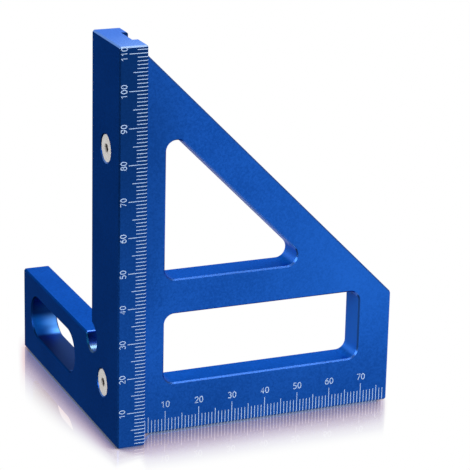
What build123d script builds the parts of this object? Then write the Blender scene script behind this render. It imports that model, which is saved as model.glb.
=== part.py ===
from build123d import *
import os
from math import cos, radians, tan

# A woodworker's 45 degree set square with a right-angled stock.
#
# The stock is an L in side view: a tall bar at the front and a slotted foot running
# back along the floor. The plate is a separate slab with two windows. Its left edge
# is let into a rebate down the stock's right side, and two countersunk screws pull
# it home from the left.
#
# Millimetres, +Z up, +X along the plate away from the stock, +Y from front to back.
# The origin is the middle of the footprint, on the floor.

# Stock
height = 112.0            # floor to the top of the stock and of the plate
foot_reach = 83.0         # front of the stock to the far end of its foot
stock_thickness = 8.0
flange_depth = 7.0        # metal in front of the rebate
back_wall_depth = 5.9     # metal behind the rebate
foot_height = 25.0
relief_radius = 4.2       # round relief where the bar meets the foot
relief_mouth_radius = 0.8

# Slot through the foot
slot_setback = 14.5       # back of the bar to the slot
slot_end_margin = 7.0     # slot to the far end of the foot
slot_sill = 7.3           # metal under the slot
slot_roof = 5.3           # metal over the slot

# Rebate that takes the plate's edge
rebate_depth = 2.0
rebate_fillet = 0.25
plate_clearance = 0.1     # slip fit of the plate's thickness in the rebate

# Plate
plate_thickness = 8.5
end_height = 33.0         # the plate's short right-hand edge
slope_angle = 45.0
bottom_rail = 14.2
cross_bar = 10.0
side_rail = 10.0          # beside the stock
end_rail = 10.0           # beside the short edge
sloping_rail = 10.0
lower_window_height = 20.2
window_radius = 3.0

edge_break = 0.4          # chamfer on every outside edge of the stock and the plate

# Screws: M4 by 12, flat head, hexagon socket
screw_length = 12.0
shank_diameter = 4.0
head_diameter = 7.5
head_land = 0.1           # straight rim of the head above its 90 degree cone
head_recess = 0.25        # the head sits just under the stock's face
socket_across_flats = 2.5
socket_depth = 1.5
tip_chamfer = 0.5
shank_clearance = 0.25    # radial, in the stock's plain hole
thread_clearance = 0.05   # radial, in the plate's tapped pocket
head_clearance = 0.03     # radial, in the countersink
pocket_run_out = 1.0      # pocket left empty past the screw's tip
upper_screw_setback = 10.5
upper_screw_drop = 29.8   # below the top
lower_screw_setback = 12.6
lower_screw_height = 14.8

# Places that follow from the sizes
slope = tan(radians(slope_angle))
plate_width = (height - end_height) / slope
overall_width = stock_thickness - rebate_depth + plate_width
rebate_width = plate_thickness + plate_clearance
stock_depth = flange_depth + rebate_width + back_wall_depth

stock_left = -overall_width / 2
stock_right = stock_left + stock_thickness
plate_left = stock_right - rebate_depth
plate_right = plate_left + plate_width

stock_front = -foot_reach / 2
foot_end = foot_reach / 2
bar_back = stock_front + stock_depth
plate_front = stock_front + flange_depth
plate_back = plate_front + plate_thickness

slot_start = bar_back + slot_setback
slot_length = foot_end - slot_end_margin - slot_start
slot_height = foot_height - slot_sill - slot_roof

window_left = plate_left + side_rail
window_right = plate_right - end_rail
upper_window_bottom = bottom_rail + lower_window_height + cross_bar
inner_slope_top = height - sloping_rail / cos(radians(slope_angle))
upper_window_top = inner_slope_top - side_rail * slope
upper_window_tip = plate_left + (inner_slope_top - upper_window_bottom) / slope

shank_radius = shank_diameter / 2
head_radius = head_diameter / 2
rim_radius = head_radius + head_land + head_recess + head_clearance
screw_head_x = stock_left + head_recess
pocket_depth = screw_head_x + screw_length - plate_left + pocket_run_out
screw_places = {
    "upper_screw": (stock_front + upper_screw_setback, height - upper_screw_drop),
    "lower_screw": (stock_front + lower_screw_setback, lower_screw_height),
}


def facing_left(x, y, z):
    """A plane at the given point that looks out to the left, with +Z up."""
    return Plane(origin=(x, y, z), x_dir=(0, -1, 0), z_dir=(-1, 0, 0))


os.makedirs("parts", exist_ok=True)

# Stock: one L-shaped piece
with BuildPart() as stock:
    with BuildSketch(Plane.YZ.offset(stock_left)) as side_view:
        with BuildLine():
            Polyline(
                (stock_front, 0),
                (foot_end, 0),
                (foot_end, foot_height),
                (bar_back, foot_height),
                (bar_back, height),
                (stock_front, height),
                close=True,
            )
        make_face()
        inner_corner = (bar_back, foot_height)
        chamfer(side_view.vertices().sort_by_distance(inner_corner)[1:], edge_break)
        with Locations(inner_corner):
            Circle(relief_radius, mode=Mode.SUBTRACT)
        fillet(side_view.vertices().sort_by_distance(inner_corner)[:2], relief_mouth_radius)
        with Locations((slot_start + slot_length / 2, slot_sill + slot_height / 2)):
            SlotOverall(slot_length, slot_height, mode=Mode.SUBTRACT)
    extrude(amount=stock_thickness)
    chamfer(stock.faces().filter_by(Axis.X).edges(), edge_break)

    with BuildSketch() as rebate:
        with Locations((stock_right, plate_front)):
            Rectangle(rebate_depth, rebate_width, align=(Align.MAX, Align.MIN))
        fillet(rebate.vertices().group_by(Axis.X)[0], rebate_fillet)
    extrude(amount=height, mode=Mode.SUBTRACT)

    for y, z in screw_places.values():
        with Locations(facing_left(stock_left, y, z)):
            CounterSinkHole(
                radius=shank_radius + shank_clearance,
                counter_sink_radius=rim_radius,
                depth=stock_thickness,
                counter_sink_angle=90,
            )
stock.part.label = "stock"
export_step(stock.part, "parts/stock.step")

# Plate: a slab with a sloping edge, a long lower window and a three-cornered upper one
with BuildPart() as plate:
    with BuildSketch(Plane.XZ.offset(-plate_back)) as front_view:
        with BuildLine():
            Polyline(
                (plate_left, 0),
                (plate_right, 0),
                (plate_right, end_height),
                (plate_left, height),
                close=True,
            )
        make_face()
        chamfer(front_view.vertices().group_by(Axis.X)[-1], edge_break)
        with Locations((window_left, bottom_rail)):
            RectangleRounded(
                window_right - window_left,
                lower_window_height,
                window_radius,
                align=(Align.MIN, Align.MIN),
                mode=Mode.SUBTRACT,
            )
    with BuildSketch(Plane.XZ.offset(-plate_back)) as upper_window:
        with BuildLine():
            Polyline(
                (window_left, upper_window_bottom),
                (upper_window_tip, upper_window_bottom),
                (window_left, upper_window_top),
                close=True,
            )
        make_face()
        fillet(upper_window.vertices(), window_radius)
    extrude(front_view.sketch, amount=plate_thickness)
    extrude(upper_window.sketch, amount=plate_thickness, mode=Mode.SUBTRACT)
    chamfer(plate.faces().filter_by(Axis.Y).edges(), edge_break)

    for y, z in screw_places.values():
        with Locations(facing_left(plate_left, y, z)):
            Hole(shank_radius + thread_clearance, depth=pocket_depth)
plate.part.label = "plate"
export_step(plate.part, "parts/plate.step")

# Screws: turned about their own axes, pointing right, with the socket in the head
cone_end = head_land + head_radius - shank_radius
for name, (y, z) in screw_places.items():
    axis_plane = Plane(origin=(screw_head_x, y, z), x_dir=(1, 0, 0), z_dir=(0, -1, 0))
    with BuildPart() as screw:
        with BuildSketch(axis_plane):
            with BuildLine():
                Polyline(
                    (0, 0),
                    (0, head_radius),
                    (head_land, head_radius),
                    (cone_end, shank_radius),
                    (screw_length - tip_chamfer, shank_radius),
                    (screw_length, shank_radius - tip_chamfer),
                    (screw_length, 0),
                    close=True,
                )
            make_face()
        revolve(axis=Axis((screw_head_x, y, z), (1, 0, 0)))
        with BuildSketch(facing_left(screw_head_x, y, z)):
            RegularPolygon(socket_across_flats / 2, 6, major_radius=False)
        extrude(amount=-socket_depth, mode=Mode.SUBTRACT)
    screw.part.label = name
    export_step(screw.part, f"parts/{name}.step")
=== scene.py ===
import math

import bmesh
import bpy
from mathutils import Euler, Matrix, Vector


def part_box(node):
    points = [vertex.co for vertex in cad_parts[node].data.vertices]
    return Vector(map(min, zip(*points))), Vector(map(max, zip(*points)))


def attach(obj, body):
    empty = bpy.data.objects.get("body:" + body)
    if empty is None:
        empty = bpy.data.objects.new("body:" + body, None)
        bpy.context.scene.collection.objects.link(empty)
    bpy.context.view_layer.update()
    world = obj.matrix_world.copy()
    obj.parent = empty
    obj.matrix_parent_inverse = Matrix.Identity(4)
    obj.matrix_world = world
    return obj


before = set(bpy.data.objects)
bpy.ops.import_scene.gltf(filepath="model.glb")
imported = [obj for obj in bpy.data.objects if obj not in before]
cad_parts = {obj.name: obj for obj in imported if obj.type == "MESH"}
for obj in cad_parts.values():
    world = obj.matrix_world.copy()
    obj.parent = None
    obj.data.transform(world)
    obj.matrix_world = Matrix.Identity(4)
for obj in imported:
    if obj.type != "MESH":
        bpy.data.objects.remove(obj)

# A woodworker's set square in blast-finished blue anodised aluminium. The stock and the
# plate carry white millimetre scales, and two bright flat-head screws hold them together.
# Metres, +Z up, +X along the plate, +Y from the graduated front to the back.

MM = 0.001
FRONT = Vector((0, -1, 0))
RIGHT = Vector((1, 0, 0))
DOWN = Vector((0, 0, -1))
UP = Vector((0, 0, 1))

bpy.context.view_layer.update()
stock_low, stock_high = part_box("stock")
plate_low, plate_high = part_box("plate")

edge_break = 0.4 * MM                   # the chamfer on the outside edges
slot_ends = (-5.5 * MM, 34.5 * MM)      # the slot in the foot, from front to back
slot_levels = (7.3 * MM, 19.7 * MM)     # and from its bed to its roof
notch_y = -20 * MM                      # the middle of the round notch in the inner corner
notch_z = 25 * MM
notch_reach = 4.7 * MM                  # the notch's radius with its chamfer


# ---------------------------------------------------------------- shader arithmetic

class Wire:
    """One output of a finish's nodes. Python's signs on it add Math nodes."""

    def __init__(self, finish, socket):
        self.finish = finish
        self.socket = socket

    def math(self, operation, *others, clamp=False):
        numbers = dict(enumerate((self, *others)))
        settings = {"operation": operation, "use_clamp": clamp}
        return self.finish.add("ShaderNodeMath", settings, numbers, "Value")

    def __add__(self, other):
        return self.math("ADD", other)

    __radd__ = __add__

    def __mul__(self, other):
        return self.math("MULTIPLY", other)

    __rmul__ = __mul__

    def __sub__(self, other):
        return self.math("SUBTRACT", other)

    def __rsub__(self, other):
        return (self * -1) + other

    def __truediv__(self, other):
        return self.math("DIVIDE", other)

    def __pow__(self, other):
        return self.math("POWER", other)

    def __abs__(self):
        return self.math("ABSOLUTE")

    def larger(self, other):
        return self.math("MAXIMUM", other)

    def ramp(self, low, high):
        """0 below low, 1 above high, and a smooth rise between."""
        settings = {"interpolation_type": "SMOOTHSTEP"}
        sockets = {"Value": self, "From Min": low, "From Max": high}
        return self.finish.add("ShaderNodeMapRange", settings, sockets, "Result")


class Finish:
    """The nodes of one material, or of the room round the square."""

    def __init__(self, owner):
        owner.use_nodes = True
        self.owner = owner
        self.tree = owner.node_tree
        self.tree.nodes.clear()

    def add(self, kind, settings, sockets, output):
        """Adds a node, sets it up, fills or links its sockets and returns one output."""
        node = self.tree.nodes.new(kind)
        for name, value in settings.items():
            setattr(node, name, value)
        for key, value in sockets.items():
            if isinstance(value, Wire):
                self.tree.links.new(value.socket, node.inputs[key])
            else:
                node.inputs[key].default_value = value
        return Wire(self, node.outputs[output])

    def place(self):
        """The point on the piece, in metres in the square's own frame."""
        return self.add("ShaderNodeTexCoord", {}, {}, "Object")

    def facing(self):
        """How far the surface looks to the right, the back and the top, each from -1 to 1."""
        return self.parts(self.add("ShaderNodeTexCoord", {}, {}, "Normal"))

    def parts(self, vector):
        split = {"Vector": vector}
        return [self.add("ShaderNodeSeparateXYZ", {}, split, axis) for axis in "XYZ"]

    def noise(self, vector, size, detail=2.0, roughness=0.5):
        """Soft random patches about size metres across, from 0 to 1."""
        sockets = {"Vector": vector, "Scale": 1 / size, "Detail": detail, "Roughness": roughness}
        return self.add("ShaderNodeTexNoise", {}, sockets, "Fac")

    def blend(self, share, first, second):
        """first where share is 0, second where it is 1. Both are colours."""
        settings = {"data_type": "RGBA"}
        return self.add("ShaderNodeMix", settings, {0: share, 6: first, 7: second}, 2)

    def bump(self, height, depth, strength):
        """A surface direction roughened by a height from 0 to 1, depth metres deep."""
        sockets = {"Height": height, "Distance": depth, "Strength": strength}
        return self.add("ShaderNodeBump", {}, sockets, "Normal")

    def surface(self, **sockets):
        """Ends the finish with a Principled surface. Underscores stand for spaces."""
        named = {key.replace("_", " "): value for key, value in sockets.items()}
        self.end(self.add("ShaderNodeBsdfPrincipled", {}, named, "BSDF"))
        return self.owner

    def end(self, shader, kind="ShaderNodeOutputMaterial"):
        output = self.tree.nodes.new(kind)
        self.tree.links.new(shader.socket, output.inputs["Surface"])


def new_finish(name):
    """The finish of a new material."""
    return Finish(bpy.data.materials.new(name))


def span(a, b):
    """The length of the straight line that goes a one way and b square to it."""
    return (a ** 2 + b ** 2) ** 0.5


def within(value, ends, soft):
    """1 between the two ends, fading to 0 over the soft distance past each."""
    return value.ramp(ends[0] - soft, ends[0]) * (1 - value.ramp(ends[1], ends[1] + soft))


# ---------------------------------------------------------------- blue anodising

anodised_blue = (0.0130, 0.114, 0.55, 1)    # the blasted faces lie between these two
anodised_deep = (0.0065, 0.074, 0.39, 1)
shaded_blue = (0.002, 0.018, 0.08, 1)       # painted shade, laid over a face where less light falls
lit_blue = (0.024, 0.19, 0.80, 1)       # painted light, laid where more light falls
glancing_tint = (0.42, 0.52, 0.90, 1)       # of its shine, seen along the face

grain_size = 0.26 * MM
mottle_size = 0.6 * MM
cloud_size = 18 * MM
cloud_share = 0.2             # how much each of the three tells in the colour
mottle_share = 0.4
grain_share = 0.4
tone_ends = (0.36, 0.64)      # their sum, where the colour is all deep and all blue

blasted_roughness = 0.42
grain_roughness = 0.16        # how far the grain and the mottle change the roughness
mottle_roughness = 0.06
milled_polish = 0.16          # roughness that milling takes away
pit_depth = 0.014 * MM        # of the blasted surface
pit_strength = 0.6
pit_mottle = 0.6


class AnodisedBlue(Finish):
    """Blue anodising over blasted metal. Tints are laid over it one after another, most of them
    painted shade and painted light.

    right, back and up say how far the surface looks that way, and front is 1 on the faces
    that look to the front.
    """

    def __init__(self, name):
        super().__init__(bpy.data.materials.new(name))
        self.spot = self.place()
        self.x, self.y, self.z = self.parts(self.spot)
        self.right, self.back, self.up = self.facing()
        self.front = (self.back * -1).ramp(0.6, 0.9)
        self.grain = self.noise(self.spot, grain_size, 3.0, 0.6)
        self.mottle = self.noise(self.spot, mottle_size)
        cloud = self.noise(self.spot, cloud_size, 3.0)
        tone = cloud * cloud_share + self.mottle * mottle_share + self.grain * grain_share
        self.colour = self.blend(tone.ramp(*tone_ends), anodised_deep, anodised_blue)

    def tint(self, share, colour):
        """Lays a colour over the finish: none of it where share is 0, all where it is 1."""
        self.colour = self.blend(share, self.colour, colour)

    def seal(self, smooth, metal=1.0):
        """Ends the finish. Where smooth is 1 the metal was milled after blasting."""
        gloss = blasted_roughness + (self.grain - 0.5) * grain_roughness
        gloss = gloss + (self.mottle - 0.5) * mottle_roughness - smooth * milled_polish
        pits = self.grain + self.mottle * pit_mottle
        return self.surface(
            Base_Color=self.colour,
            Metallic=metal,
            Roughness=gloss,
            Specular_Tint=glancing_tint,
            Normal=self.bump(pits, pit_depth, pit_strength),
        )


def chamfers(facing):
    """1 on the chamfers round a face, which look 0.7 its way, and 0 on the face and its walls."""
    return facing.ramp(0.35, 0.6) * (1 - facing.ramp(0.8, 0.95))


# ---------------------------------------------------------------- the stock's finish

end_blue = (0.09, 0.25, 0.76, 1)            # painted light on the cut top end, at its back
pale_highlight_blue = (0.21, 0.41, 0.88, 1)            # and at its front, also the painted highlights on rims
edge_highlight_blue = (0.45, 0.64, 1.0, 1)          # painted highlight on the chamfer between that end and the front
milled_highlight_blue = (0.085, 0.19, 0.50, 1)        # painted highlight on milled walls that look up
# painted shade inside the notch
notch_shade_blue = (0.010, 0.15, 0.30, 1)
# greyer, for the painted highlight on the notch's bed
notch_bed_highlight_blue = (0.10, 0.18, 0.30, 1)
slot_end_highlight_blue = (0.13, 0.42, 1.0, 1)        # painted highlight at the slot's far end, deep inside
slot_lip_highlight_blue = (0.012, 0.27, 1.0, 1)       # and just inside its left rim
# painted shade on the slot's bed
slot_bed_shade_blue = (0.034, 0.044, 0.09, 1)

cut_margin = 0.6 * MM         # round the slot's outline, to take in its chamfer
notch_margin = 0.2 * MM
screw_reach = 5 * MM          # round a screw's middle, to take in its countersink
screw_margin = 0.5 * MM

# Shares of painted shade, laid in shaded blue
front_shade = 0.36            # over the whole front
front_top_shade = 0.42        # more of it towards the front's top
cut_shade = 0.34              # more of it on walls set back behind the front
rim_shade = 0.65              # on the chamfers round the two sides
cut_rim_shade = 0.3           # more of it round the slot and the notch
slot_roof_shade = 0.45
cut_lip_shade = 0.8           # just inside the left rim of the notch
slot_lip_relief = 0.75        # how much less of it just inside the slot's left rim

# Shares of the other tints: painted shade on the slot's bed, and painted highlights
slot_bed_shade = 0.85               # of painted shade on the slot's bed
far_bed_relief = 0.45         # how much less of it towards the foot's end
screw_rim_light = 0.5
top_rim_light = 0.8
front_rim_light = 0.8
milled_highlight_share = 0.7

milled_smooth = 0.8
slot_matt = 1.3               # how much less smooth the slot is


def stock_cuts(f):
    """1 on the walls of the foot's slot, and 1 on those of the notch, as two wires."""
    wall = 1 - abs(f.right).ramp(0.85, 0.95)
    in_slot = within(f.y, slot_ends, cut_margin) * within(f.z, slot_levels, cut_margin) * wall
    from_notch = span(f.y - notch_y, f.z - notch_z)
    near_notch = 1 - from_notch.ramp(notch_reach, notch_reach + notch_margin)
    below_corner = 1 - f.z.ramp(notch_z - 1 * MM, notch_z)
    return in_slot, near_notch * below_corner * wall


def near_screws(f):
    """1 in and just round the two countersinks, 0 elsewhere."""
    near = []
    for node in ("upper_screw", "lower_screw"):
        low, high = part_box(node)
        centre = (low + high) / 2
        away = span(f.y - centre.y, f.z - centre.z)
        near.append(1 - away.ramp(screw_reach, screw_reach + screw_margin))
    return near[0] + near[1]


def at_top(f, lowest, full):
    """1 near the stock's top end, from full metres below it up. 0 from lowest down."""
    return f.z.ramp(stock_high.z - lowest, stock_high.z - full)


def tint_stock_faces(f, in_slot, in_notch):
    """Painted shade towards the top of the front and in the cuts, painted light on the cut top end.

    The painted light on the top end is brightest at its front right corner, with soft streaks.
    """
    # Painted shade over the front, more of it towards its top and on walls set back behind it
    rising = f.z.ramp(30 * MM, 100 * MM)
    set_back = f.y.ramp(stock_low.y + 15 * MM, stock_low.y + 19 * MM)
    depth = front_shade + rising * front_top_shade + set_back * cut_shade
    f.tint(f.front * depth, shaded_blue)
    # Painted shade on the slot's bed, less of it towards the foot's end
    far_bed = f.y.ramp(20 * MM, 34 * MM)
    bed = f.up.ramp(0.75, 1.0) * in_slot
    f.tint(bed * (slot_bed_shade - far_bed * far_bed_relief), slot_bed_shade_blue)
    # Painted light on the cut top end, brightest at its front right corner
    streaks = f.noise(f.spot, 3 * MM) * 4 * MM
    pale = (f.x * 0.6 - f.y + streaks).ramp(4 * MM, 25 * MM)
    top_end = f.up.ramp(0.5, 0.8) * at_top(f, 1.0 * MM, 0.6 * MM)
    f.tint(top_end, f.blend(pale, end_blue, pale_highlight_blue))
    # Painted shade inside the notch
    f.tint(in_notch, notch_shade_blue)


def tint_stock_rims(f, in_slot, in_notch):
    """The chamfers round the two sides: painted shade, less of it low on the front, and painted
    highlights at the top end and on the countersinks' up-facing rims.
    """
    rims = chamfers(abs(f.right))
    low_front = (f.back * -1).ramp(0.4, 0.6) * (1 - f.z.ramp(35 * MM, 75 * MM))
    cut_rims = in_slot.larger(in_notch) * cut_rim_shade
    f.tint(rims * (rim_shade - low_front * rim_shade + cut_rims), shaded_blue)
    f.tint(rims * f.up.ramp(0.4, 0.7) * near_screws(f) * screw_rim_light, pale_highlight_blue)
    top_rims = rims * f.up.ramp(0.3, 0.6) * at_top(f, 1.5 * MM, 0.8 * MM)
    f.tint(top_rims * top_rim_light, pale_highlight_blue)


def tint_milled_walls(f, in_slot, in_notch, milled):
    """The walls of the slot and the notch: painted highlights where they look up, painted shade
    under their roofs and at their left rims.
    """
    # Painted highlights on the milled walls that look up, at the slot's far end and just inside its
    # left rim
    deep_in = f.x.ramp(stock_low.x + 1.5 * MM, stock_low.x + 7.0 * MM)
    slot_highlight_tone = f.blend(deep_in, slot_lip_highlight_blue, slot_end_highlight_blue)
    f.tint(milled * milled_highlight_share, f.blend(in_slot, milled_highlight_blue, slot_highlight_tone))
    # A greyer painted highlight on the notch's bed
    f.tint(f.up.ramp(0.5, 0.85) * in_notch, notch_bed_highlight_blue)
    # Painted shade under the slot's roof and at the left rims of the slot and the notch
    f.tint(in_slot * (1 - f.up.ramp(0.1, 0.5)) * slot_roof_shade, shaded_blue)
    slot_wall = in_slot * (1 - f.up.ramp(0.75, 0.9))
    notch_wall = in_notch * (1 - f.up.ramp(0.3, 0.6))
    lip = 1 - f.x.ramp(stock_low.x, stock_low.x + 4.5 * MM)
    lip_shade = cut_lip_shade - in_slot * slot_lip_relief
    f.tint(slot_wall.larger(notch_wall) * lip * lip_shade, shaded_blue)


def stock_finish():
    """The stock: painted shade and light on its faces, then on its rims and its milled cuts, and a
    painted highlight on the front top edge.
    """
    f = AnodisedBlue("stock_anodised")
    in_slot, in_notch = stock_cuts(f)
    milled = (abs(f.back) * f.up).ramp(0.08, 0.35) * (1 - abs(f.right).ramp(0.2, 0.5))
    tint_stock_faces(f, in_slot, in_notch)
    tint_stock_rims(f, in_slot, in_notch)
    tint_milled_walls(f, in_slot, in_notch, milled)
    # Painted highlight on the chamfer between the top end and the front
    front_top = (f.back * f.up * -1).ramp(0.2, 0.4) * at_top(f, 1.0 * MM, 0.6 * MM)
    f.tint(front_top * front_rim_light, edge_highlight_blue)
    return f.seal(milled * (milled_smooth - in_slot * slot_matt))


# ---------------------------------------------------------------- the plate's finish

lit_wall_blue = (0.010, 0.20, 0.90, 1)          # painted light on window walls that look left
lit_under_slope_blue = (0.09, 0.30, 1.0, 1)     # painted light on the window's wall under the slope
cut_edge_blue = (0.12, 0.26, 0.62, 1)       # the chamfers

beside_stock_shade = 0.30                   # shares of painted shade
plate_foot_shade = 0.24
under_rim_shade = 0.5
right_light = 0.3                           # share of painted light towards the right
rim_tint = 0.3
rim_smooth = 0.6
wall_lacquer = 0.55                         # how far a wall's shine is that of a lacquer
slope_lacquer = 0.75

# Where the stock's painted shadow lies on the plate's front
beside_stock_centre = (plate_low.x, 75 * MM)
beside_stock_reach = (17 * MM, 42 * MM)


def oval_patch(across, up, centre, reach):
    """1 at the middle of an upright oval on a front face, fading to 0 round it."""
    return 1 - span((across - centre[0]) / reach[0], (up - centre[1]) / reach[1]).ramp(0.4, 1.3)


def plate_finish():
    """The plate: a painted shadow beside the stock, painted shade low down and under its rims,
    painted light to the right and on its walls, with cut rims.
    """
    f = AnodisedBlue("plate_anodised")
    # Painted shadow of the stock beside it, and painted shade low down
    beside_stock = oval_patch(f.x, f.z, beside_stock_centre, beside_stock_reach)
    foot = 1 - f.z.ramp(2 * MM, 26 * MM)
    depth = beside_stock * beside_stock_shade + foot * plate_foot_shade
    f.tint(f.front * depth, shaded_blue)
    # Painted light, more of it towards the right and above the bottom rail
    towards_right = f.x.ramp(plate_low.x + 20 * MM, plate_high.x) * f.z.ramp(8 * MM, 40 * MM)
    f.tint(f.front * towards_right * right_light, lit_blue)
    # Painted light on the walls that look left
    wall = (f.right * -1).ramp(0.5, 0.9)
    f.tint(wall, lit_wall_blue)
    rims = chamfers(abs(f.back))
    f.tint(rims * rim_tint, cut_edge_blue)
    # Painted shade on rims that look down, and painted light on the wall under the slope
    underside = (f.up * -1).ramp(0.3, 0.6)
    under_slope = (f.right * -1).ramp(0.3, 0.45) * (f.up * -1).ramp(0.3, 0.45)
    f.tint(rims * underside * (under_rim_shade - under_slope * under_rim_shade), shaded_blue)
    f.tint(under_slope, lit_under_slope_blue)
    lacquer = (wall * (1 - rims) * wall_lacquer).larger(under_slope * slope_lacquer)
    return f.seal(rims * rim_smooth, 1 - lacquer)


# ---------------------------------------------------------------- screws and print

plating_dull = (0.90, 0.87, 0.83, 1)
plating_bright = (0.98, 0.95, 0.92, 1)
# painted shade in the hex socket
socket_shade = (0.045, 0.035, 0.03, 1)
socket_reach = 1.45 * MM      # from the screw's axis to the corners of its socket
turning_pitch = 0.3 * MM      # from one ring that the lathe left to the next
plating_metal = 0.12
plating_roughness = 0.42
plating_speckle = 0.12        # more roughness in the speckles
socket_roughness = 0.2        # and in the socket
turning_depth = 0.008 * MM

print_faint = (0.40, 0.60, 1.0, 1)
print_full = (0.58, 0.76, 1.0, 1)
print_roughness = 0.5
print_speckle = 0.15
print_depth = 0.004 * MM


def bright_screw(name, node):
    """Bright plated steel, turned about the screw's own axis, with painted shade in its socket."""
    low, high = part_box(node)
    centre = (low + high) / 2
    f = new_finish(name)
    place = f.place()
    x, y, z = f.parts(place)
    radius = span(y - centre.y, z - centre.z)
    rings = (radius * (2 * math.pi / turning_pitch)).math("SINE")
    speckle = f.noise(place, 0.12 * MM, 3.0)
    smudge = f.noise(place, 1.4 * MM)
    depth = (x - (low.x + 0.1 * MM)).ramp(0.0, 0.5 * MM)
    in_socket = depth * (1 - radius.ramp(socket_reach, socket_reach + 0.05 * MM))
    plating = f.blend(smudge.ramp(0.35, 0.65), plating_dull, plating_bright)
    return f.surface(
        Base_Color=f.blend(in_socket, plating, socket_shade),
        Metallic=plating_metal,
        Roughness=plating_roughness + speckle * plating_speckle + in_socket * socket_roughness,
        Normal=f.bump(rings * 0.5 + speckle, turning_depth, 0.6),
    )


def scale_white():
    """The white of the graduations, a thin matt print over the anodising."""
    f = new_finish("scale_white")
    place = f.place()
    speckle = f.noise(place, 0.1 * MM, 3.0)
    blotches = f.noise(place, 2.5 * MM)
    wear = (speckle * 0.6 + blotches * 0.4).ramp(0.3, 0.7)
    return f.surface(
        Base_Color=f.blend(wear, print_faint, print_full),
        Roughness=print_roughness + speckle * print_speckle,
        Normal=f.bump(speckle, print_depth, 0.5),
    )


def dress(node, material):
    """Gives one of the square's own pieces its finish."""
    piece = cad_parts[node]
    piece.data.materials.clear()
    piece.data.materials.append(material)


# ---------------------------------------------------------------- graduations

print_thickness = 0.015 * MM
print_root = 0.03 * MM        # how far the print's underside lies inside the metal
line_width = 0.19 * MM
height_marks = {"one": 3.1 * MM, "five": 4.2 * MM, "ten": 5.3 * MM}
length_marks = {"one": 3.9 * MM, "five": 4.9 * MM, "ten": 6.1 * MM}
height_steps = range(1, 112)
length_steps = range(2, 78)
scale_zero = plate_low.x + 0.55 * MM


def graduation(step, lengths):
    """The length of the mark at a whole millimetre: every tenth longest, every fifth next."""
    if step % 10 == 0:
        return lengths["ten"]
    if step % 5 == 0:
        return lengths["five"]
    return lengths["one"]


def add_strip(mesh, path, outward, across):
    """A thin closed strip along a path, with its own outward direction at each point."""
    rings = []
    for point, out in zip(path, outward):
        top = point + out * print_thickness
        root = point - out * print_root
        corners = (top - across, top + across, root + across, root - across)
        rings.append([mesh.verts.new(corner) for corner in corners])
    for first, second in zip(rings, rings[1:]):
        for i in range(4):
            j = (i + 1) % 4
            mesh.faces.new((first[i], first[j], second[j], second[i]))
    mesh.faces.new(reversed(rings[0]))
    mesh.faces.new(rings[-1])


def finish_piece(name, mesh, material):
    """Turns a mesh into one piece of white print that rides on the square."""
    bmesh.ops.recalc_face_normals(mesh, faces=mesh.faces)
    data = bpy.data.meshes.new(name)
    mesh.to_mesh(data)
    mesh.free()
    piece = bpy.data.objects.new(name, data)
    bpy.context.scene.collection.objects.link(piece)
    data.materials.append(material)
    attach(piece, "root")


def wrapped_outward(flat_out, side_out):
    """Outward directions for a strip that runs over the flat and round the chamfer."""
    over = (flat_out + side_out).normalized()
    return [flat_out, (flat_out + over).normalized(), (over + side_out).normalized()]


def add_marks(name, paths, side_out, across, material):
    """One scale's marks. They lie on the front and run round the chamfer beside it."""
    mesh = bmesh.new()
    outward = wrapped_outward(FRONT, side_out)
    for path in paths:
        add_strip(mesh, path, outward, across * (line_width / 2))
    finish_piece(name, mesh, material)


def height_graduations(material):
    """Marks up the right edge of the stock's front, one each millimetre."""
    front, right = stock_low.y, stock_high.x
    paths = []
    for step in height_steps:
        z = step * MM
        reach = graduation(step, height_marks)
        paths.append([
            Vector((right - reach, front, z)),
            Vector((right - edge_break, front, z)),
            Vector((right, front + edge_break, z)),
        ])
    add_marks("height_graduations", paths, RIGHT, UP, material)


def length_graduations(material):
    """Marks along the bottom edge of the plate's front, one each millimetre."""
    front, floor = plate_low.y, plate_low.z
    paths = []
    for step in length_steps:
        x = scale_zero + step * MM
        reach = graduation(step, length_marks)
        paths.append([
            Vector((x, front, floor + reach)),
            Vector((x, front, floor + edge_break)),
            Vector((x, front + edge_break, floor + print_thickness)),
        ])
    add_marks("length_graduations", paths, DOWN, RIGHT, material)


# ---------------------------------------------------------------- numbers

figure_width = 0.60           # as a share of a figure's height
figure_step = 0.82            # from one figure to the next, as a share of their height
arc_step = 24                 # degrees of an arc from one point to the next


def arc(centre, reach, start, end):
    """Points along part of an oval, from one angle to another in degrees."""
    count = max(4, int(abs(end - start) / arc_step))
    points = []
    for i in range(count + 1):
        angle = math.radians(start + (end - start) * i / count)
        x = centre[0] + reach[0] * math.cos(angle)
        y = centre[1] + reach[1] * math.sin(angle)
        points.append((x, y))
    return points


six = [arc((0.56, 0.31), (0.54, 0.69), 98, 180), arc((0.30, 0.31), (0.28, 0.31), 0, 360)]
figures = {       # the strokes of each figure, in a box 0.6 wide and 1 high
    "0": [arc((0.30, 0.50), (0.28, 0.50), 0, 360)],
    "1": [[(0.08, 0.76), (0.36, 1.0), (0.36, 0.0)]],
    "2": [arc((0.30, 0.71), (0.27, 0.29), 165, -38) + [(0.02, 0.0), (0.60, 0.0)]],
    "3": [arc((0.28, 0.76), (0.25, 0.24), 150, -90), arc((0.28, 0.26), (0.29, 0.26), 90, -150)],
    "4": [[(0.44, 0.0), (0.44, 1.0), (0.0, 0.30), (0.60, 0.30)]],
    "5": [[(0.54, 1.0), (0.10, 1.0), (0.05, 0.54)] + arc((0.27, 0.31), (0.29, 0.31), 115, -145)],
    "6": six,
    "7": [[(0.0, 1.0), (0.58, 1.0), (0.20, 0.0)]],
    "8": [arc((0.30, 0.76), (0.23, 0.24), 0, 360), arc((0.30, 0.27), (0.29, 0.27), 0, 360)],
    "9": [[(figure_width - x, 1.0 - y) for x, y in stroke] for stroke in six],
}

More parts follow.
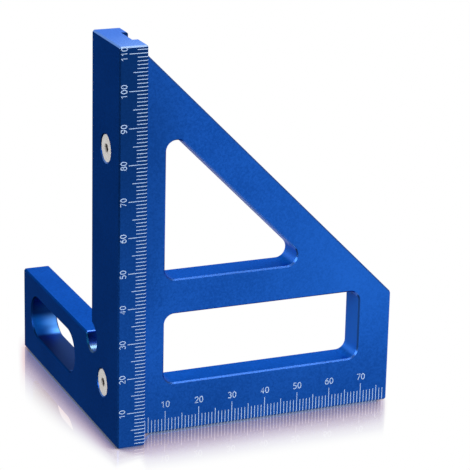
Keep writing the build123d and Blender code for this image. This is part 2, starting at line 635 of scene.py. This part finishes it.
height_figure = 1.85 * MM           # how tall the stock's figures are
height_pen = 0.25 * MM              # and how wide their strokes
height_figure_inset = 6.7 * MM      # their middle, in from the stock's right edge
length_figure = 2.0 * MM
length_pen = 0.29 * MM
length_figure_rise = 8.15 * MM      # their middle, above the plate's bottom edge


def pen_strokes(text, tall, pen_width):
    """A number drawn flat with a round pen, tall metres high, as a mesh about its middle."""
    curve = bpy.data.curves.new("number", "CURVE")
    curve.dimensions = "3D"
    curve.bevel_depth = pen_width / 2
    curve.bevel_resolution = 1
    curve.use_fill_caps = True
    size = tall - pen_width
    left = -((len(text) - 1) * figure_step + figure_width) / 2
    for i, figure in enumerate(text):
        for stroke in figures[figure]:
            closed = math.dist(stroke[0], stroke[-1]) < 0.001
            points = stroke[:-1] if closed else stroke
            spline = curve.splines.new("POLY")
            spline.points.add(len(points) - 1)
            for point, (x, y) in zip(spline.points, points):
                point.co = ((left + i * figure_step + x) * size, (y - 0.5) * size, 0, 1)
            spline.use_cyclic_u = closed
    carrier = bpy.data.objects.new("number", curve)
    bpy.context.scene.collection.objects.link(carrier)
    drawn = carrier.evaluated_get(bpy.context.evaluated_depsgraph_get())
    strokes = bpy.data.meshes.new_from_object(drawn)
    bpy.data.objects.remove(carrier)
    bpy.data.curves.remove(curve)
    return strokes


def add_numbers(name, centres, tall, pen_width, turn, material):
    """One scale's numbers, pressed flat on the front and turned by turn degrees."""
    mesh = bmesh.new()
    pressed = Matrix.Scale(2 * print_thickness / pen_width, 4, UP)
    upright = Matrix.Rotation(math.radians(90), 4, "X")
    turned = Matrix.Rotation(-math.radians(turn), 4, "Y")
    for number, centre in centres.items():
        strokes = pen_strokes(str(number), tall, pen_width)
        strokes.transform(Matrix.Translation(centre) @ turned @ upright @ pressed)
        mesh.from_mesh(strokes)
        bpy.data.meshes.remove(strokes)
    finish_piece(name, mesh, material)


def height_numbers(material):
    """Each ten up the stock's front, turned on its side."""
    x = stock_high.x - height_figure_inset
    tens = [step for step in height_steps if step % 10 == 0]
    centres = {step: Vector((x, stock_low.y, step * MM)) for step in tens}
    add_numbers("height_numbers", centres, height_figure, height_pen, 90, material)


def length_numbers(material):
    """Each ten along the plate's front."""
    tens = [step for step in length_steps if step % 10 == 0]
    centres = {}
    for step in tens:
        centres[step] = Vector((scale_zero + step * MM, plate_low.y, length_figure_rise))
    add_numbers("length_numbers", centres, length_figure, length_pen, 0, material)


# ---------------------------------------------------------------- floor and backdrop

white = (1, 1, 1, 1)
room_size = 3.0
backdrop_share = 0.95         # of the room's size, to the backdrop's panels
backdrop_panels = 36
seen_rays = ("Is Camera Ray", "Is Glossy Ray", "Is Transmission Ray")

contact_reach = 60 * MM       # how far from the metal the floor still takes its shade
mirror_reach = 11 * MM        # how far the floor mirrors the square's front corner
plate_growth = 17 * MM        # how much further it mirrors the plate
foot_growth = 25 * MM         # and the far end of the foot
mirror_x = 0.38               # the direction in which the floor mirrors the square
mirror_y = 0.925

polish_clean = (0.86, 0.86, 0.86, 1)      # the floor's mirroring coat: clear of the square,
polish_shaded = (0.86, 0.62, 0.56, 1)     # tinted as painted shade in its shade,
polish_touching = (0.80, 0.85, 1.0, 1)    # and tinted blue as painted shade where they touch
pale_shaded = (1.0, 0.80, 0.90, 1)        # the floor's glowing white, tinted as painted shade in the same places
pale_touching = (0.70, 0.85, 1.0, 1)
least_white = 0.09                        # share of that white where they touch
polish_metal = 0.85
polish_roughness = 0.03
clearing = 0.8                            # under 1, the floor turns white sooner


def mirror_share(f):
    """0 where the floor meets the metal, 1 where it neither mirrors it nor takes painted shade.

    depth runs in the mirrored direction and track square to it. The metal's outline on the
    floor is the foot's left side, then the stock's front, then the plate's front.
    """
    x, y, _ = f.parts(f.place())
    track = x * mirror_y - y * mirror_x
    depth = x * mirror_x + y * mirror_y
    steep = mirror_y / mirror_x
    foot_line = (stock_low.x * mirror_y - track) * steep + stock_low.x * mirror_x
    front_line = track / steep
    stock_line = front_line + stock_low.y / mirror_y
    plate_line = front_line + plate_low.y / mirror_y
    corner = stock_high.x * mirror_y - stock_low.y * mirror_x
    past_stock = track.ramp(corner - 1.5 * MM, corner + 1.5 * MM)
    front = stock_line * (1 - past_stock) + plate_line * past_stock
    distance = abs(foot_line.larger(front) - depth)
    along_foot = (corner - track).ramp(0.0, 35 * MM)
    reach = mirror_reach + past_stock * plate_growth + along_foot * foot_growth
    right_end = plate_high.x * mirror_y - plate_low.y * mirror_x
    left_end = stock_low.x * mirror_y - stock_high.y * mirror_x
    past_right = track.ramp(right_end - 3 * MM, right_end + 1 * MM)
    past_left = (left_end - track).ramp(-2 * MM, 3 * MM)
    return (distance / reach).ramp(0.0, 1.0).math("ADD", past_right + past_left, clamp=True)


def stage_piece(name, corners, panels, material):
    """A piece of the studio. It takes no part in the light on the square."""
    data = bpy.data.meshes.new(name)
    data.from_pydata(corners, [], panels)
    data.materials.append(material)
    piece = bpy.data.objects.new(name, data)
    bpy.context.scene.collection.objects.link(piece)
    piece.visible_glossy = False
    piece.visible_diffuse = False
    return piece


def pale_floor():
    """A wide glossy white floor. It mirrors the square, most of all close to it, where painted shade
    lies on it.
    """
    f = new_finish("pale_floor")
    open_sky = f.add("ShaderNodeAmbientOcclusion", {"samples": 8}, {"Distance": contact_reach}, "AO")
    # The floor is white where this mask is 1, and near the metal it takes painted shade from an
    # ambient occlusion mask and mirror_share
    clear_of_shade = open_sky.ramp(0.55, 1.0).larger(mirror_share(f)) ** clearing
    touching = 1 - clear_of_shade.ramp(0.0, 0.03)
    polish_near = f.blend(touching, polish_shaded, polish_touching)
    polish_tint = f.blend(clear_of_shade.ramp(0.3, 0.9), polish_near, polish_clean)
    polish = {"Base Color": polish_tint, "Metallic": polish_metal, "Roughness": polish_roughness}
    mirror = f.add("ShaderNodeBsdfPrincipled", {}, polish, "BSDF")
    pale_near = f.blend(touching, pale_shaded, pale_touching)
    pale = f.blend(clear_of_shade.ramp(0.2, 1.0), pale_near, white)
    glow = f.add("ShaderNodeEmission", {}, {"Color": pale, "Strength": 1.0}, "Emission")
    direct, mirrored, through = [f.add("ShaderNodeLightPath", {}, {}, ray) for ray in seen_rays]
    seen = direct.math("ADD", mirrored, clamp=True).math("ADD", through, clamp=True)
    share = seen * (least_white + clear_of_shade * (1 - least_white))
    f.end(f.add("ShaderNodeMixShader", {}, {0: share, 1: mirror, 2: glow}, "Shader"))
    signs = ((-1, -1), (1, -1), (1, 1), (-1, 1))
    corners = [(x * room_size, y * room_size, 0) for x, y in signs]
    stage_piece("floor", corners, [(0, 1, 2, 3)], f.owner)


def white_backdrop():
    """A plain white wall all round, far behind the square."""
    f = new_finish("white_backdrop")
    f.end(f.add("ShaderNodeEmission", {}, {"Color": white, "Strength": 1.0}, "Emission"))
    radius = room_size * backdrop_share
    ring = [math.radians(360 / backdrop_panels * i) for i in range(backdrop_panels)]
    foot = [(radius * math.cos(a), radius * math.sin(a), 0.0) for a in ring]
    top = [(x, y, room_size) for x, y, _ in foot]
    panels = []
    for i in range(backdrop_panels):
        j = (i + 1) % backdrop_panels
        panels.append((i, j, backdrop_panels + j, backdrop_panels + i))
    backdrop = stage_piece("backdrop", foot + top, panels, f.owner)
    backdrop.visible_shadow = False


# ---------------------------------------------------------------- light and camera

low_dim = 0.20                # the room below the horizon, at the left
low_bright = 1.35             # and towards the right
far_right_loss = 0.4          # taken off again at the far right
nadir_share = 0.3             # how much of it is left straight below
side_level = 0.45             # the room above the horizon, at the sides
back_level = 0.86             # and behind the square
overhead = 0.5                # added straight overhead

lamp_aim = (0, 0, 0.05)
lamps = {                     # each lamp's place, the side of its square face, and its level
    "key": ((0.45, -1.1, 1.2), 0.8, 5.0),
    "top": ((0.40, 0.50, 1.4), 0.6, 6.0),
    "left_fill": ((-1.2, -0.6, 0.6), 0.8, 4.0),
}

sensor_width = 36             # millimetres, as is the lens
lens_length = 167.59
lens_shift = -0.0814
camera_place = (-0.23067, -0.55636, 0.24163)
camera_turn = (72.83, -1.2259, -22.877)     # degrees about x, y and z


def room_light():
    """A soft studio: dim low down on the left, bright behind, to the right and overhead."""
    world = bpy.data.worlds.new("studio")
    bpy.context.scene.world = world
    room = Finish(world)
    sideways, back, upward = room.parts(room.add("ShaderNodeTexCoord", {}, {}, "Generated"))
    low = low_dim + sideways.ramp(-0.1, 0.5) * (low_bright - low_dim)
    low = low - sideways.ramp(0.5, 0.9) * far_right_loss
    low = low * (nadir_share + upward.ramp(-0.95, -0.6) * (1 - nadir_share))
    high = side_level + back.ramp(0.0, 0.8) * (back_level - side_level)
    above = upward.ramp(-0.05, 0.2)
    level = low * (1 - above) + high * above + upward.ramp(0.75, 0.95) * overhead
    air = {"Color": white, "Strength": level}
    room.end(room.add("ShaderNodeBackground", {}, air, "Background"), "ShaderNodeOutputWorld")


def softbox(name, place, side, level):
    """A soft square lamp, aimed at the square, whose face is level times as bright as white."""
    lamp = bpy.data.lights.new(name, "AREA")
    lamp.shape = "RECTANGLE"
    lamp.size = side
    lamp.size_y = side
    lamp.energy = level * math.pi * side * side
    carrier = bpy.data.objects.new(name, lamp)
    carrier.location = place
    carrier.rotation_euler = (Vector(lamp_aim) - Vector(place)).to_track_quat("-Z", "Y").to_euler()
    bpy.context.scene.collection.objects.link(carrier)


def camera():
    """Looks down on the square from its front left."""
    lens = bpy.data.cameras.new("camera")
    lens.sensor_width = sensor_width
    lens.lens = lens_length
    lens.shift_y = lens_shift
    lens.clip_start = 0.05
    lens.clip_end = 20
    carrier = bpy.data.objects.new("camera", lens)
    carrier.location = camera_place
    carrier.rotation_euler = Euler([math.radians(turn) for turn in camera_turn])
    bpy.context.scene.collection.objects.link(carrier)
    bpy.context.scene.camera = carrier


# ---------------------------------------------------------------- the square

dress("stock", stock_finish())
dress("plate", plate_finish())
dress("upper_screw", bright_screw("upper_screw_plated", "upper_screw"))
dress("lower_screw", bright_screw("lower_screw_plated", "lower_screw"))

marking = scale_white()
height_graduations(marking)
length_graduations(marking)
height_numbers(marking)
length_numbers(marking)

pale_floor()
white_backdrop()
room_light()
for lamp_name, (lamp_place, lamp_side, lamp_level) in lamps.items():
    softbox(lamp_name, lamp_place, lamp_side, lamp_level)
camera()
bpy.context.scene.view_settings.view_transform = "Standard"
